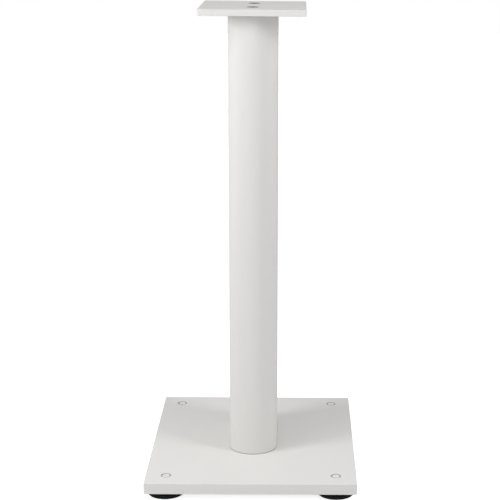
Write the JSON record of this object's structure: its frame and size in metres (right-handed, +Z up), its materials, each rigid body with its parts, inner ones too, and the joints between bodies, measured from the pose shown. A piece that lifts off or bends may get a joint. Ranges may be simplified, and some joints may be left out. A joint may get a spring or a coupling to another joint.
{
  "type": "speaker stand",
  "caption": "Free-standing speaker stand: flat top plate on an oval column over a rectangular base plate with levelling feet that screw down from above.",
  "frame": {"origin": "on the floor, under the middle of the base plate", "axes": "+Z up along the column, front faces -Y, +X to the right seen from the front"},
  "size_m": [0.266, 0.308, 0.6],
  "materials": {
    "white_coat": "satin powder coat",
    "black_steel": "black oxide",
    "dark_steel": "dark oxide",
    "bright_steel": "zinc plated",
    "black_plastic": "moulded, slightly glossy",
    "black_rubber": "matte"
  },
  "bodies": {
    "stand": {"base_plate": "white_coat", "column": "white_coat", "top_plate": "white_coat", "top_screw_front": "black_steel", "top_screw_rear": "black_steel", "base_screw_front": "black_steel", "base_screw_rear": "black_steel", "bush_front_left": "dark_steel", "bush_front_right": "dark_steel", "bush_rear_left": "dark_steel", "bush_rear_right": "dark_steel"},
    "foot_front_left": {"foot_cup_front_left": "black_plastic", "foot_disc_front_left": "bright_steel", "foot_sole_front_left": "black_rubber"},
    "stud_front_left": {"foot_stud_front_left": "bright_steel"},
    "foot_front_right": {"foot_cup_front_right": "black_plastic", "foot_disc_front_right": "bright_steel", "foot_sole_front_right": "black_rubber"},
    "stud_front_right": {"foot_stud_front_right": "bright_steel"},
    "foot_rear_left": {"foot_cup_rear_left": "black_plastic", "foot_disc_rear_left": "bright_steel", "foot_sole_rear_left": "black_rubber"},
    "stud_rear_left": {"foot_stud_rear_left": "bright_steel"},
    "foot_rear_right": {"foot_cup_rear_right": "black_plastic", "foot_disc_rear_right": "bright_steel", "foot_sole_rear_right": "black_rubber"},
    "stud_rear_right": {"foot_stud_rear_right": "bright_steel"}
  },
  "joints": [
    {"name": "foot_height_front_left", "type": "slide", "parent": "stand", "child": "foot_front_left", "axis": [0, 0, -1], "range_m": [0, 0.006]},
    {"name": "stud_turn_front_left", "type": "hinge", "parent": "foot_front_left", "child": "stud_front_left", "pos_m": [-0.107, -0.128, 0.023], "axis": [0, 0, -1], "range_deg": [0, 1440]},
    {"name": "foot_height_front_right", "type": "slide", "parent": "stand", "child": "foot_front_right", "axis": [0, 0, -1], "range_m": [0, 0.006]},
    {"name": "stud_turn_front_right", "type": "hinge", "parent": "foot_front_right", "child": "stud_front_right", "pos_m": [0.107, -0.128, 0.023], "axis": [0, 0, -1], "range_deg": [0, 1440]},
    {"name": "foot_height_rear_left", "type": "slide", "parent": "stand", "child": "foot_rear_left", "axis": [0, 0, -1], "range_m": [0, 0.006]},
    {"name": "stud_turn_rear_left", "type": "hinge", "parent": "foot_rear_left", "child": "stud_rear_left", "pos_m": [-0.107, 0.128, 0.023], "axis": [0, 0, -1], "range_deg": [0, 1440]},
    {"name": "foot_height_rear_right", "type": "slide", "parent": "stand", "child": "foot_rear_right", "axis": [0, 0, -1], "range_m": [0, 0.006]},
    {"name": "stud_turn_rear_right", "type": "hinge", "parent": "foot_rear_right", "child": "stud_rear_right", "pos_m": [0.107, 0.128, 0.023], "axis": [0, 0, -1], "range_deg": [0, 1440]}
  ],
  "couplings": [
    {"joint": "stud_turn_front_left", "follows": "foot_height_front_left", "rad_per_m": 4188.8},
    {"joint": "stud_turn_front_right", "follows": "foot_height_front_right", "rad_per_m": 4188.8},
    {"joint": "stud_turn_rear_left", "follows": "foot_height_rear_left", "rad_per_m": 4188.8},
    {"joint": "stud_turn_rear_right", "follows": "foot_height_rear_right", "rad_per_m": 4188.8}
  ]
}
